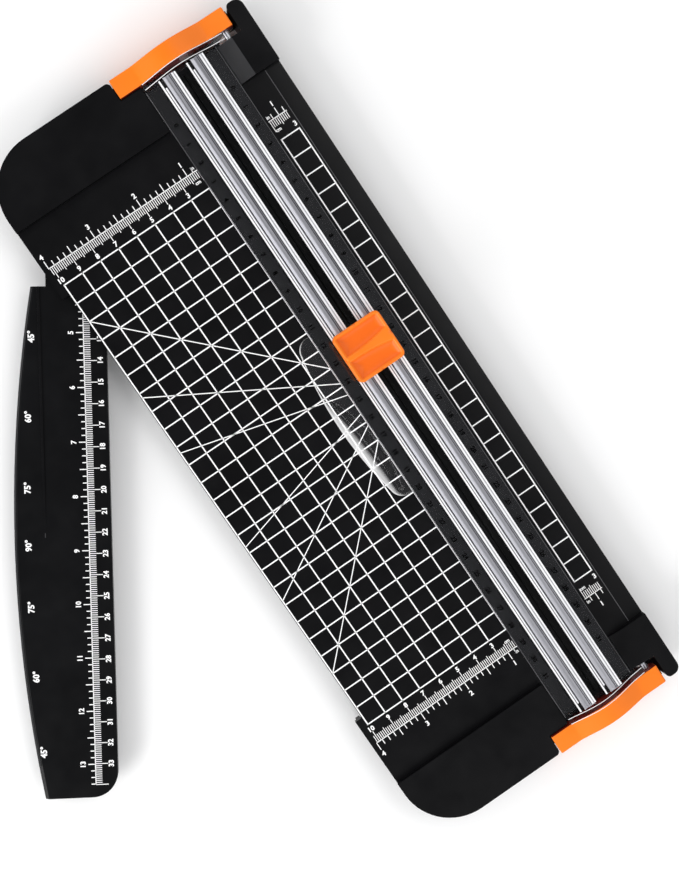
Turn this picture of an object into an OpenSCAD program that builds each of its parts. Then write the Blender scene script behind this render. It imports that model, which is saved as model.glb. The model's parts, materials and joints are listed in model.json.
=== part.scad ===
// Rotary paper trimmer: a ruled base board, a clear hinged rail with a sliding
// spring-loaded rotary cutter, and a ruler arm that swings out from under the board.
// X runs across the board (positive to the right), Y along the cut, Z up from the table.

/* [Base board] */
// Overall length of the board along the cut
base_len = 378.2; // [365:0.1:385]
// Distance from the cut line to the left edge
base_left = 103.2; // [101:0.1:106]
// Distance from the cut line to the right edge
base_right = 40.6; // [39.5:0.1:42]
// Height of the ruled deck above the table
deck_z = 15; // [15:0.1:16]
// Thickness of the deck
deck_t = 3; // [2.8:0.1:3.4]
// How far the raised ends stand above the deck
end_rise = 3; // [2.8:0.1:3.2]
// Distance between the two paper fences (the inner edges of the raised ends)
fence_gap = 312; // [305:1:316]
// Corner radius at the left side
left_corner_r = 27; // [20:1:30]
// Corner radius at the right side
right_corner_r = 4; // [2:0.5:5]
// Thickness of the skirt and of the ribs under the deck
skirt_t = 2.2; // [2:0.1:2.6]

/* [Rail] */
// Half width of the rail over its flanges
rail_half = 19.15; // [19:0.05:19.3]
// Half length of the rail between its end walls
rail_hy = 176; // [175.5:0.1:176.2]
// Height of the flange underside above the deck, which is the paper gap
paper_gap = 1; // [0.8:0.1:1.2]
// Thickness of the flange
flange_t = 2; // [1.8:0.1:2.2]
// Inner side of each raised rib, from the cut line
rib_in = 2.95; // [2.9:0.05:3.1]
// Outer side of each raised rib, from the cut line
rib_out = 12.05; // [11.9:0.05:12.3]
// Height of the rib tops above the deck
rib_h = 9; // [8.8:0.1:9.2]

/* [Cutter] */
// Place of the cutter along the rail
cutter_y = 24.9; // [-160:0.1:160]
// Width of the cutter across the rail
cutter_w = 24.9; // [24:0.1:25.2]
// Length of the cutter along the rail
cutter_l = 24.8; // [24.6:0.1:26]
// Height of the thumb pad above the deck
cutter_h = 18; // [17.8:0.1:19]
// Travel of the thumb pad when it is pressed
press_travel = 2.5; // [2:0.1:2.5]
// Diameter of the rotary blade
blade_d = 12; // [11:0.1:12.2]
// Thickness of the rotary blade
blade_t = 0.4; // [0.3:0.05:0.5]

/* [Ruler arm] */
// Swing of the arm back from square with the board
arm_angle = 56.9; // [40:0.1:90]
// Length from the pivot to the tip
arm_len = 260.7; // [200:0.1:265]
// Straight edge, measured from the pivot line
arm_edge = 15; // [14.5:0.1:15.5]
// Furthest point of the curved edge, measured from the pivot line
arm_belly = 29.85; // [28:0.05:30]
// Radius of the curved edge
arm_r = 676; // [600:1:700]
// Thickness of the arm
arm_t = 3.3; // [3:0.1:3.3]

/* [Hidden] */
$fn = 64;
eps = 0.01;

// Heights
foot_z = 2;
deck_low = deck_z - deck_t;
end_z = deck_z + end_rise;
flange_low = deck_z + paper_gap;
flange_top = flange_low + flange_t;
rib_top = deck_z + rib_h;
pad_top = deck_z + cutter_h;

// Board outline
hy = base_len / 2;
fence_y = fence_gap / 2;
tuck_depth = 3.7;
tuck_far = 120.7;
tuck_near = -120.2;
strip_x = 32.5;
strip_drop = 1.5;
channel_half = 19.75;

// Notches at the board's ends, where the end caps sit
notch_l = -30.4;
notch_r = 32.9;
notch_y = 179.1;
mouth_r = 2.2;
ledge_x = 27.5;
ledge_z = 9.2;
grip_ledge_x = -26;
grip_ledge_z = 4.2;
pocket_x = 21.6;
pocket_y = 175.7;

// Hinge
hinge_x = 26.6;
hinge_z = 15;
knuckle_r = 4.5;
pin_r = 1.5;
pin_in = 163;
running_fit = 0.05;

// End walls and end caps
wall_t = 3.6;
wall_low = 15.6;
wall_side_z = 21.5;
wall_arch = 6;
cap_out = 189.2;
cap_l = -30;
cap_side_z = 19.5;
cap_arch = 4.5;
cap_low = 5;
cap_cell = 15.4;
peg_r = 1.3;
peg_x = 15.5;
peg_z = 18.5;
arch_half = 19;

// Mat
mat_half = 7;
mat_hy = 174;
mat_t = 1.6;
groove_w = 0.9;
groove_d = 1;

// Finger guard
guard_hy = 43.65;
guard_out = 31.3;
guard_r = 190;
guard_end_r = 6.5;
guard_low = 16.2;
guard_flat = 17.8;
guard_rim = 19.8;

// Glide strips
strip_in = 3.85;
strip_out = 11.15;
strip_t = 0.8;
strip_tick = [1.6, 4.5];

// Cutter
housing_low = rib_top + 0.25;
housing_top = housing_low + 1.55;
housing_w = cutter_w - 2.6;
housing_l = cutter_l - 2.6;
collar_t = 1.2;
collar_top = housing_low + 3.15;
stem_half = 2.75;
stem_hy = 11;
keel_half = 4.2;
keel_low = 16.3;
keel_top = 17.9;
undercut_x = 4.5;
undercut_z = 18.2;
well_half = 1.8;
well_hy = 6.5;
spring_y = 8.6;
spring_low = 20;
spring_r = 0.95;
spring_wire = 0.4;
spring_well_r = 1.45;
cap_gap = 0.35;
cap_skirt = rib_top + press_travel + 0.2;
cap_under = pad_top - 3.5;
cap_ring_top = collar_top + press_travel + 0.2;
axle_r = 1;
blade_z = keel_low + 0.5 + blade_d / 2;
yoke_half = 1.55;
yoke_slot = 0.45;

// Ruler arm
pivot = [-85.6, 140.7];
arm_low = 7.5;
arm_top = arm_low + arm_t;
boss_r = 4;
boss_end = 7.2;
neck_u = 20.1;
neck_w = 12;
hub_r = 13.5;
arm_mid = (neck_u + arm_len) / 2;
tip_r = 12;
ridge_w = 15.45;
ridge_end = 137;
washer_t = 0.8;

// Under-deck ribs
rib_h_under = 4;
rib_xs = [-62, -36, -10, 10];
rib_ys = [-140, -70, 0, 70, 140];

// Feet, one at each corner of the board
foot_r = 6;
foot_spots = [[-86, 172], [28.5, 146], [-86, -172], [28.5, -146]];

// The model is centred across its whole width with the arm swung out, so the
// furthest point of the arm's tip is worked out here.
tip_w = arm_belly - arm_r + sqrt(pow(arm_r, 2) - pow(arm_len - arm_mid, 2));
x_min = pivot[0] - cos(arm_angle) * arm_len - sin(arm_angle) * tip_w;
x_shift = -(x_min + base_right) / 2;

// Puts the parts, drawn about the cut line, into the model's own frame
module place() {
    translate([x_shift, 0, 0]) children();
}

// Copies a part to both ends of the board
module both_ends() {
    children();
    mirror([0, 1, 0]) children();
}

// Extrudes an outline drawn in X and Z along Y, from y0 to y1
module along_y(y0, y1) {
    translate([0, y1, 0]) rotate([90, 0, 0]) linear_extrude(y1 - y0) children();
}

module box(low, high) {
    translate(low) cube(high - low);
}

// Rectangle from [x0, y0] to [x1, y1]
module rect(x0, y0, x1, y1) {
    translate([x0, y0]) square([x1 - x0, y1 - y0]);
}

// Rectangle about the origin with round corners, as true arcs
module round_rect(w, l, r) {
    rect(-w / 2 + r, -l / 2, w / 2 - r, l / 2);
    rect(-w / 2, -l / 2 + r, w / 2, l / 2 - r);
    for (sx = [-1, 1], sy = [-1, 1])
        translate([sx * (w / 2 - r), sy * (l / 2 - r)]) circle(r);
}

// Board outline, drawn smaller all round by inset
module board_outline(inset = 0) {
    x0 = -base_left + inset;
    x1 = base_right - inset;
    y1 = hy - inset;
    rl = left_corner_r - inset;
    rr = right_corner_r - inset;
    rect(x0 + rl, -y1, x1 - rr, y1);
    rect(x0, -y1 + rl, x0 + rl + eps, y1 - rl);
    rect(x1 - rr - eps, -y1 + rr, x1, y1 - rr);
    for (sy = [-1, 1]) {
        translate([x0 + rl, sy * (y1 - rl)]) circle(rl);
        translate([x1 - rr, sy * (y1 - rr)]) circle(rr);
    }
}

// Everything that stands above the deck at the far end
module raised_end() {
    translate([0, 0, deck_z - eps]) linear_extrude(end_rise + eps) intersection() {
        board_outline();
        union() {
            rect(-base_left - 1, fence_y, -channel_half, hy + 1);
            rect(channel_half, fence_y, base_right + 1, hy + 1);
        }
    }
}

// Skirt round the board, open on the left where the ruler arm swings
module skirt() {
    difference() {
        translate([0, 0, foot_z]) linear_extrude(deck_low - foot_z + eps) difference() {
            board_outline();
            board_outline(skirt_t);
        }
        box([-base_left - 1, tuck_near - 2, 0], [-base_left + 6, pivot[1] + neck_w + 2, deck_low]);
    }
}

// Walls round one end notch, under the deck
module notch_walls() {
    box([notch_l - skirt_t, pocket_y - 2 * skirt_t, foot_z],
        [notch_r + skirt_t, pocket_y - skirt_t, deck_low + eps]);
    for (x = [notch_l - skirt_t, notch_r])
        box([x, pocket_y - 2 * skirt_t, foot_z], [x + skirt_t, hy - 1, deck_low + eps]);
    // Floor of the notch under each end of the cap
    box([ledge_x, notch_y, ledge_z - 2], [notch_r + 1, hy - 1, ledge_z]);
    box([notch_l - 1, notch_y - skirt_t, foot_z], [grip_ledge_x, hy - 1, grip_ledge_z]);
}

module deck_ribs() {
    for (x = rib_xs)
        box([x - 0.8, -pocket_y + skirt_t, deck_low - rib_h_under],
            [x + 0.8, pocket_y - skirt_t, deck_low + eps]);
    for (y = rib_ys)
        box([rib_xs[0], y - 0.8, deck_low - rib_h_under],
            [base_right - 1, y + 0.8, deck_low + eps]);
}

module foot_boss(spot) {
    translate([spot[0], spot[1], foot_z]) cylinder(r = foot_r + 1.4, h = deck_low - foot_z + eps);
}

// Boss under the deck that the ruler arm turns on, with a collar that spaces it off
module pivot_boss() {
    translate([pivot[0], pivot[1], boss_end]) cylinder(r = boss_r, h = deck_low - boss_end + eps);
    translate([pivot[0], pivot[1], arm_top + 0.3])
        cylinder(r = boss_r + 3, h = deck_low - arm_top - 0.3 + eps);
}

// Rounds off the board's corner at one side of a notch
module mouth_corner(edge, side) {
    translate([edge, hy - mouth_r, grip_ledge_z]) mirror([side < 0 ? 1 : 0, 0, 0])
        linear_extrude(end_z) difference() {
            rect(-eps, 0, mouth_r, mouth_r + 1);
            translate([mouth_r, 0]) circle(mouth_r);
        }
}

// Slots and pockets that one end of the rail needs
module end_cuts() {
    box([grip_ledge_x, notch_y, 0], [ledge_x, hy + 1, end_z + 1]);
    box([notch_l, notch_y, grip_ledge_z], [grip_ledge_x + 1, hy + 1, end_z + 1]);
    box([ledge_x - 1, notch_y, ledge_z], [notch_r, hy + 1, end_z + 1]);
    // Round corners at the notch's mouth
    mouth_corner(notch_l, -1);
    mouth_corner(notch_r, 1);
    box([pocket_x, pocket_y, 0], [notch_r, notch_y + 1, end_z + 1]);
    box([channel_half - 1, pocket_y, deck_z], [notch_r, notch_y + 1, end_z + 1]);
    // Slope beside the rail, so that its edge can swing up
    along_y(fence_y - 1, pocket_y + 1)
        polygon([[channel_half - 1, 16.1], [27.6, end_z], [27.6, end_z + 1], [channel_half - 1, end_z + 1]]);
    translate([hinge_x, pocket_y + 1, hinge_z]) rotate([90, 0, 0])
        cylinder(r = pin_r, h = pocket_y + 1 - pin_in);
}

module base_plate() {
    color([0.11, 0.11, 0.12]) place() difference() {
        union() {
            translate([0, 0, deck_low]) linear_extrude(deck_t) board_outline();
            both_ends() raised_end();
            skirt();
            both_ends() notch_walls();
            deck_ribs();
            pivot_boss();
            for (spot = foot_spots) foot_boss(spot);
        }
        both_ends() end_cuts();
        // The left edge is cut back between the shoulders, where the folded arm shows
        box([-base_left - 1, tuck_near, deck_low - 1], [-base_left + tuck_depth, tuck_far, deck_z + 1]);
        // The right edge slopes down between the raised ends
        along_y(-fence_y, fence_y)
            polygon([[strip_x, deck_z], [base_right + 1, deck_z - strip_drop], [base_right + 1, deck_z + 1]]);
        // Recess of the cutting mat
        box([-mat_half, -mat_hy, deck_z - mat_t], [mat_half, mat_hy, deck_z + 1]);
        // Screw hole in the pivot boss
        translate([pivot[0], pivot[1], boss_end - 1]) cylinder(r = 1.5, h = 6.3);
        // Seats of the feet
        for (spot = foot_spots) translate([spot[0], spot[1], foot_z - 1]) cylinder(r = foot_r, h = 2);
    }
}

module cutting_mat() {
    color([0.07, 0.07, 0.08]) place() difference() {
        box([-mat_half, -mat_hy, deck_z - mat_t], [mat_half, mat_hy, deck_z]);
        box([-groove_w / 2, -mat_hy - 1, deck_z - groove_d], [groove_w / 2, mat_hy + 1, deck_z + 1]);
    }
}

// Round rubber foot with a slightly smaller tread
module foot(spot) {
    color([0.16, 0.16, 0.17]) place() translate([spot[0], spot[1], 0]) union() {
        cylinder(r1 = foot_r - 0.8, r2 = foot_r, h = 1);
        translate([0, 0, 1]) cylinder(r = foot_r, h = foot_z);
    }
}

// Far hinge pin: pressed into the board, and the rail's end wall turns on it
module hinge_pin() {
    translate([hinge_x, rail_hy + wall_t - 0.2, hinge_z]) rotate([90, 0, 0])
        cylinder(r = pin_r, h = rail_hy + wall_t - 0.2 - pin_in);
}

module pivot_washer() {
    color([0.75, 0.75, 0.77]) place() translate([pivot[0], pivot[1], boss_end - washer_t]) difference() {
        cylinder(r = 6.5, h = washer_t);
        translate([0, 0, -1]) cylinder(r = 1.6, h = washer_t + 2);
    }
}

// Pan-head screw with a cross recess, seen from below
module pivot_screw() {
    head_h = 2.2;
    color([0.6, 0.6, 0.62]) place() translate([pivot[0], pivot[1], boss_end - washer_t]) union() {
        cylinder(r = 1.5, h = washer_t + 5.2);
        difference() {
            translate([0, 0, -head_h]) union() {
                cylinder(r1 = 2.2, r2 = 3, h = 0.8);
                translate([0, 0, 0.8]) cylinder(r = 3, h = head_h - 0.8);
            }
            for (a = [0, 90]) rotate([0, 0, a])
                translate([-1.6, -0.3, -head_h - 1]) cube([3.2, 0.6, 2.2]);
        }
    }
}

// Section of the right-hand rail: flange, raised rib, groove for the glide strip
// and an undercut for the keel of the cutter
module rail_section() {
    difference() {
        union() {
            rect(undercut_x, flange_low, rail_half, flange_top);
            rect(rib_in, undercut_z, rib_out, rib_top);
            rect(undercut_x, flange_low, rib_out, undercut_z + eps);
        }
        rect(strip_in, rib_top - strip_t, strip_out, rib_top + 1);
        rect(5.9, flange_low - 1, 9.7, 21.4);
    }
}

module right_rail() {
    color([0.75, 0.78, 0.8, 0.45]) place() along_y(-rail_hy, rail_hy) rail_section();
}

module left_rail() {
    color([0.75, 0.78, 0.8, 0.45]) place() mirror([1, 0, 0])
        along_y(-rail_hy, rail_hy) rail_section();
}

// Metal strip let into a rib, with a corner notch at each end on its left side
module glide_strip(x0) {
    color([0.78, 0.78, 0.82]) place() difference() {
        box([x0, -rail_hy, rib_top - strip_t], [x0 + strip_out - strip_in, rail_hy, rib_top]);
        both_ends() box([x0 - 1, rail_hy - strip_tick[1], rib_top - strip_t - 1],
            [x0 + strip_tick[0], rail_hy + 1, rib_top + 1]);
    }
}

// Upper edge of an end piece: level at the sides, with a broad smooth arch between
function arch(x, level, rise) =
    abs(x) >= arch_half ? level : level + rise * pow(cos(90 * x / arch_half), 1.3);
arch_xs = [for (i = [-12 : 12]) arch_half * i / 12];

module end_wall_section() {
    polygon(concat([[-rail_half, wall_low], [-rail_half, wall_side_z]],
        [for (x = arch_xs) [x, arch(x, wall_side_z - 0.5, wall_arch)]],
        [[hinge_x - 1, hinge_z + knuckle_r - 0.2], [hinge_x, hinge_z + 3], [hinge_x, wall_low]]));
}

// Round end that turns about a hinge pin
module knuckle(y0, y1) {
    translate([hinge_x, y1, hinge_z]) rotate([90, 0, 0]) cylinder(r = knuckle_r, h = y1 - y0);
}

module end_wall() {
    difference() {
        union() {
            along_y(rail_hy, rail_hy + wall_t) end_wall_section();
            knuckle(rail_hy, rail_hy + wall_t);
        }
        translate([hinge_x, rail_hy + wall_t + 1, hinge_z]) rotate([90, 0, 0])
            cylinder(r = pin_r + running_fit, h = wall_t + 2);
        for (s = [-1, 1]) translate([s * peg_x, rail_hy + wall_t + 1, peg_z]) rotate([90, 0, 0])
            cylinder(r = peg_r, h = wall_t + 2);
    }
}

// Arched orange end cap, hollow from below, pegged to the end wall; its left end is the lift grip
module end_cap() {
    inner = rail_hy + wall_t;
    difference() {
        union() {
            along_y(inner, cap_out)
                polygon(concat([[cap_l + 1.6, cap_low], [cap_l, 14], [cap_l, cap_side_z]],
                    [for (x = arch_xs) [x, arch(x, cap_side_z, cap_arch)]],
                    [[hinge_x + knuckle_r - 0.6, cap_side_z], [hinge_x + knuckle_r, cap_side_z - 0.6],
                        [hinge_x + knuckle_r, hinge_z], [hinge_x, hinge_z - 4], [22, cap_low]]));
            knuckle(inner, cap_out);
        }
        // Three cells, open below, between thin cross walls
        for (i = [0 : 2]) box([cap_l + 3.6 + i * cap_cell, inner + 2, cap_low - 1],
            [cap_l + 2.2 + (i + 1) * cap_cell, cap_out - 2, cap_side_z - 2]);
    }
    for (s = [-1, 1]) translate([s * peg_x, inner + eps, peg_z]) rotate([90, 0, 0])
        cylinder(r = peg_r, h = wall_t + eps);
}

// Outline of the finger guard: one long arc with round ends against the rail's flange
module guard_outline(inset) {
    arc_r = guard_r - inset;
    end_r = guard_end_r - inset;
    cx = guard_r - guard_out;
    end_y = guard_hy - guard_end_r;
    end_x = cx - sqrt(pow(guard_r - guard_end_r, 2) - pow(end_y, 2));
    touch_y = end_y * arc_r / (guard_r - guard_end_r);
    intersection() {
        union() {
            intersection() {
                translate([cx, 0]) circle(r = arc_r, $fn = 240);
                rect(-guard_out - 1, -touch_y, -rail_half, touch_y);
            }
            for (s = [-1, 1]) translate([end_x, s * end_y]) circle(end_r);
        }
        rect(-guard_out - 1, -guard_hy, -rail_half, guard_hy);
    }
}

module finger_guard() {
    color([0.85, 0.88, 0.9, 0.4]) place() union() {
        translate([0, 0, guard_low]) linear_extrude(guard_flat - guard_low) guard_outline(0);
        translate([0, 0, guard_flat - eps]) linear_extrude(guard_rim - guard_flat) difference() {
            guard_outline(1.2);
            guard_outline(3.6);
        }
    }
}

// Outline of the housing's collar, made wider both ways by gap
module collar_ring(gap) {
    inner_w = housing_w - 2 * collar_t - 2 * gap;
    inner_l = housing_l - 2 * collar_t - 2 * gap;
    difference() {
        round_rect(housing_w + 2 * gap, housing_l + 2 * gap, 2 + gap);
        round_rect(inner_w, inner_l, 1);
    }
}

// Lower half of the cutter: a plate on the ribs, a collar for the thumb pad, and
// a stem through the slot with a keel that holds it down
module cutter_housing() {
    color([0.95, 0.45, 0.12]) place() translate([0, cutter_y, 0]) difference() {
        union() {
            translate([0, 0, housing_low]) linear_extrude(housing_top - housing_low)
                round_rect(housing_w, housing_l, 2);
            translate([0, 0, housing_top - eps]) linear_extrude(collar_top - housing_top + eps)
                collar_ring(0);
            box([-stem_half, -stem_hy, keel_low], [stem_half, stem_hy, housing_low + eps]);
            box([-keel_half, -stem_hy, keel_low], [keel_half, stem_hy, keel_top]);
        }
        box([-well_half, -well_hy, 0], [well_half, well_hy, housing_top + 1]);
        for (s = [-1, 1]) translate([0, s * spring_y, spring_low])
            cylinder(r = spring_well_r, h = housing_top);
    }
}

// Helix: rings of points round a centre line that climbs as it turns
helix_sides = 6;
helix_steps = 14;
helix_turns = 8;
function helix_ring(i, length) =
    let (a = 360 * i / helix_steps,
        z = spring_wire / 2 + (length - spring_wire) * i / (helix_steps * helix_turns))
    [for (j = [0 : helix_sides - 1])
        let (b = 360 * j / helix_sides, r = spring_r + spring_wire / 2 * cos(b))
        [r * cos(a), r * sin(a), z + spring_wire / 2 * sin(b)]];

// Compression spring standing on its own lower end
module coil_spring(length) {
    rings = helix_steps * helix_turns;
    n = helix_sides;
    points = [for (i = [0 : rings]) each helix_ring(i, length)];
    sides = [for (i = [0 : rings - 1], j = [0 : n - 1])
        [i * n + j, i * n + (j + 1) % n, (i + 1) * n + (j + 1) % n, (i + 1) * n + j]];
    start = [[for (j = [n - 1 : -1 : 0]) j]];
    finish = [[for (j = [0 : n - 1]) rings * n + j]];
    polyhedron(points, concat(sides, start, finish));
}

module return_spring(side) {
    color([0.7, 0.7, 0.72]) place() translate([0, cutter_y + side * spring_y, spring_low])
        coil_spring(cap_under - spring_low);
}

// Thumb pad: two scooped recesses with a ridge between them that is narrow in the
// middle, over a hollow underside that slides on the housing's collar
module press_cap() {
    scoop_r = 21;
    color([1, 0.5, 0.15]) place() translate([0, cutter_y, 0]) difference() {
        translate([0, 0, cap_skirt]) linear_extrude(pad_top - cap_skirt)
            round_rect(cutter_w, cutter_l, 2.5);
        translate([0, 0, cap_skirt - 1]) linear_extrude(cap_under - cap_skirt + 1)
            round_rect(housing_w + 2 * cap_gap, housing_l + 2 * cap_gap, 2 + cap_gap);
        translate([0, 0, cap_under - eps]) linear_extrude(cap_ring_top - cap_under + eps)
            collar_ring(cap_gap);
        for (s = [-1, 1]) intersection() {
            translate([0, s * 10.6, pad_top - 1.8 + scoop_r]) sphere(scoop_r, $fn = 96);
            translate([-10.9, s > 0 ? 0 : -11, 0]) cube([21.8, 11, 60]);
        }
        // Small notches in the middle of each side
        for (a = [0, 90, 180, 270]) rotate([0, 0, a])
            translate([cutter_w / 2 - 0.6, -0.6, pad_top - 1.2]) cube([2, 1.2, 3]);
        // Seat of the blade yoke
        box([-yoke_half, -2.6, cap_under - 1], [yoke_half, 2.6, cap_under + 1]);
    }
}

// Fork that carries the blade, fixed under the thumb pad
module blade_yoke() {
    color([0.2, 0.2, 0.21]) place() translate([0, cutter_y, 0]) difference() {
        union() {
            box([-yoke_half, -5.2, blade_z - 2.6], [yoke_half, 5.2, cap_under]);
            box([-yoke_half, -2.6, cap_under - eps], [yoke_half, 2.6, cap_under + 1]);
        }
        box([-yoke_slot, -6, blade_z - 4], [yoke_slot, 6, blade_z + blade_d / 2 + 0.3]);
        translate([-yoke_half - 1, 0, blade_z]) rotate([0, 90, 0]) cylinder(r = axle_r, h = 2 * yoke_half + 2);
    }
}

module blade_axle() {
    color([0.7, 0.7, 0.72]) place() translate([-yoke_half, cutter_y, blade_z])
        rotate([0, 90, 0]) cylinder(r = axle_r, h = 2 * yoke_half);
}

// Rotary blade, ground to an edge from both sides
module blade_wheel() {
    r = blade_d / 2;
    color([0.8, 0.8, 0.83]) place() translate([0, cutter_y, blade_z]) rotate([0, 90, 0])
        rotate_extrude($fn = 96) polygon([[axle_r + running_fit, -blade_t / 2], [r - 1, -blade_t / 2],
            [r, 0], [r - 1, blade_t / 2], [axle_r + running_fit, blade_t / 2]]);
}

// Ruler arm in its own directions: u runs from the pivot to the tip, w to the curved edge
module arm_outline() {
    difference() {
        union() {
            intersection() {
                translate([arm_mid, arm_belly - arm_r]) circle(r = arm_r, $fn = 360);
                rect(neck_u, -arm_edge, arm_len, arm_belly + 1);
            }
            rect(hub_r / 2, -arm_edge, neck_u + eps, neck_w);
            circle(hub_r);
        }
        difference() {
            rect(arm_len - tip_r, -arm_edge - 1, arm_len + 1, -arm_edge + tip_r);
            translate([arm_len - tip_r, -arm_edge + tip_r]) circle(tip_r);
        }
        circle(boss_r + running_fit);
    }
}

module ruler_arm() {
    bevel = 1.6;
    color([0.13, 0.13, 0.14]) place() translate([pivot[0], pivot[1], 0])
        rotate([0, 0, arm_angle]) mirror([1, 0, 0]) union() {
            intersection() {
                translate([0, 0, arm_low]) linear_extrude(arm_t) arm_outline();
                union() {
                    translate([arm_mid, arm_belly - arm_r, arm_low - 1])
                        cylinder(r = arm_r, h = arm_t, $fn = 360);
                    translate([arm_mid, arm_belly - arm_r, arm_top - 1])
                        cylinder(r1 = arm_r, r2 = arm_r - bevel, h = 1, $fn = 360);
                }
            }
            // Low ridge beside the curved edge, fading out half way along
            translate([0, ridge_w + 0.5, arm_top - eps]) rotate([90, 0, 0]) linear_extrude(1)
                polygon([[neck_u, 0], [neck_u, 0.7], [ridge_end - 40, 0.7], [ridge_end, 0]]);
        }
}

base_plate();
cutting_mat();
foot(foot_spots[0]);  // foot_far_left
foot(foot_spots[1]);  // foot_far_right
foot(foot_spots[2]);  // foot_near_left
foot(foot_spots[3]);  // foot_near_right
color([0.7, 0.7, 0.72]) place() hinge_pin();  // hinge_pin_far
color([0.7, 0.7, 0.72]) place() mirror([0, 1, 0]) hinge_pin();  // hinge_pin_near
pivot_washer();
pivot_screw();
left_rail();
right_rail();
glide_strip(-strip_out);  // left_glide_strip
glide_strip(strip_in);  // right_glide_strip
color([0.8, 0.8, 0.85, 0.5]) place() end_wall();  // far_end_wall
color([0.8, 0.8, 0.85, 0.5]) place() mirror([0, 1, 0]) end_wall();  // near_end_wall
color([1, 0.5, 0.15]) place() end_cap();  // far_end_cap
color([1, 0.5, 0.15]) place() mirror([0, 1, 0]) end_cap();  // near_end_cap
finger_guard();
cutter_housing();
return_spring(1);  // far_return_spring
return_spring(-1);  // near_return_spring
press_cap();
blade_yoke();
blade_axle();
blade_wheel();
ruler_arm();
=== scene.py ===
"""Rotary paper trimmer: the looks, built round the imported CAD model.

Design coordinates are millimetres: X from the cut line, Y along it from the middle of the board, Z up
from the table. place() turns them into the row frame's metres.
"""

import json
import math

import bmesh
import bpy
from mathutils import Matrix, Vector


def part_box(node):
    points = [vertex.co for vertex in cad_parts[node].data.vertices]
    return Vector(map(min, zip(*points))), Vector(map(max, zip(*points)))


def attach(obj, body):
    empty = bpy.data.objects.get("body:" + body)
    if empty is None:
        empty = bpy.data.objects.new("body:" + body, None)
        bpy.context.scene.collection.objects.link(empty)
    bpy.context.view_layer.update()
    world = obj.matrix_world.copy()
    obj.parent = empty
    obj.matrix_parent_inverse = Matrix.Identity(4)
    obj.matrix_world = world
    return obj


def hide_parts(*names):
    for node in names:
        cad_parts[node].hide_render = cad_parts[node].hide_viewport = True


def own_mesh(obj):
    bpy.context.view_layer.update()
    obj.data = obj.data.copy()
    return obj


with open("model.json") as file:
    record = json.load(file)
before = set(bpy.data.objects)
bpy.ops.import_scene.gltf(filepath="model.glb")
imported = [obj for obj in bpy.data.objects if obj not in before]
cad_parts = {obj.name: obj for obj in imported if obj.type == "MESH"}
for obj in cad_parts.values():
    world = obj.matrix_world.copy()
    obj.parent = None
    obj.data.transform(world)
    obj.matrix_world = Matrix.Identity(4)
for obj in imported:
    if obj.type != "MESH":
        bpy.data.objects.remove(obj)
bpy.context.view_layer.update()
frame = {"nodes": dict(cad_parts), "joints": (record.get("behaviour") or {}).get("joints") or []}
NODES = frame["nodes"]
MM = 0.001


# ---------------------------------------------------------------- the frame in design millimetres


def design_box(node):
    """Lowest and highest corner of a CAD node, in design millimetres."""
    low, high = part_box(node)
    shift = Vector((CUT_X, 0, 0))
    return (low - shift) / MM, (high - shift) / MM


CUT_X = sum(corner.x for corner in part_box("cutting_mat")) / 2
DECK_Z = design_box("cutting_mat")[1].z
FLANGE_EDGE = design_box("right_rail")[1].x
RAIL_END = design_box("right_rail")[1].y
RIB_TOP = design_box("right_rail")[1].z
FLANGE_TOP = DECK_Z + 3
ARM_TOP = 10.8
ARM_ANGLE = 56.9
CUTTER_Y = sum(corner.y for corner in design_box("press_cap")) / 2


def place(x, y, z):
    return Vector((CUT_X + x * MM, y * MM, z * MM))


# ---------------------------------------------------------------- materials


def new_material(name, colour, roughness, metallic=0.0, specular=0.5):
    """A Principled material; returns its node tree and shader, for the pattern nodes."""
    mat = bpy.data.materials.new(name)
    mat.use_nodes = True
    tree = mat.node_tree
    shader = tree.nodes["Principled BSDF"]
    shader.inputs["Base Color"].default_value = (*colour, 1)
    shader.inputs["Roughness"].default_value = roughness
    shader.inputs["Metallic"].default_value = metallic
    shader.inputs["Specular IOR Level"].default_value = specular
    return mat, tree, shader


def noise(tree, scale, stretch=(1, 1, 1), detail=3.0):
    """Noise in the row frame; scale is features per metre."""
    coords = tree.nodes.new("ShaderNodeTexCoord")
    mapping = tree.nodes.new("ShaderNodeMapping")
    mapping.inputs["Scale"].default_value = stretch
    texture = tree.nodes.new("ShaderNodeTexNoise")
    texture.inputs["Scale"].default_value = scale
    texture.inputs["Detail"].default_value = detail
    tree.links.new(coords.outputs["Object"], mapping.inputs["Vector"])
    tree.links.new(mapping.outputs["Vector"], texture.inputs["Vector"])
    return texture.outputs["Fac"]


def spread(tree, value, start, end, low, high):
    """Value from start to end turned into low to high, held at both ends."""
    node = tree.nodes.new("ShaderNodeMapRange")
    node.inputs["From Min"].default_value = start
    node.inputs["From Max"].default_value = end
    node.inputs["To Min"].default_value = low
    node.inputs["To Max"].default_value = high
    tree.links.new(value, node.inputs["Value"])
    return node.outputs["Result"]


def calculated(tree, operation, first, second=None):
    node = tree.nodes.new("ShaderNodeMath")
    node.operation = operation
    tree.links.new(first, node.inputs[0])
    if second is not None:
        tree.links.new(second, node.inputs[1])
    return node.outputs["Value"]


def vary_colour(tree, shader, pattern, dark, light, low=0.35, high=0.65):
    ramp = tree.nodes.new("ShaderNodeValToRGB")
    ramp.color_ramp.elements[0].position = low
    ramp.color_ramp.elements[0].color = (*dark, 1)
    ramp.color_ramp.elements[1].position = high
    ramp.color_ramp.elements[1].color = (*light, 1)
    tree.links.new(pattern, ramp.inputs["Fac"])
    tree.links.new(ramp.outputs["Color"], shader.inputs["Base Color"])


def vary_roughness(tree, shader, pattern, low, high):
    tree.links.new(spread(tree, pattern, 0.3, 0.7, low, high), shader.inputs["Roughness"])


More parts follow.
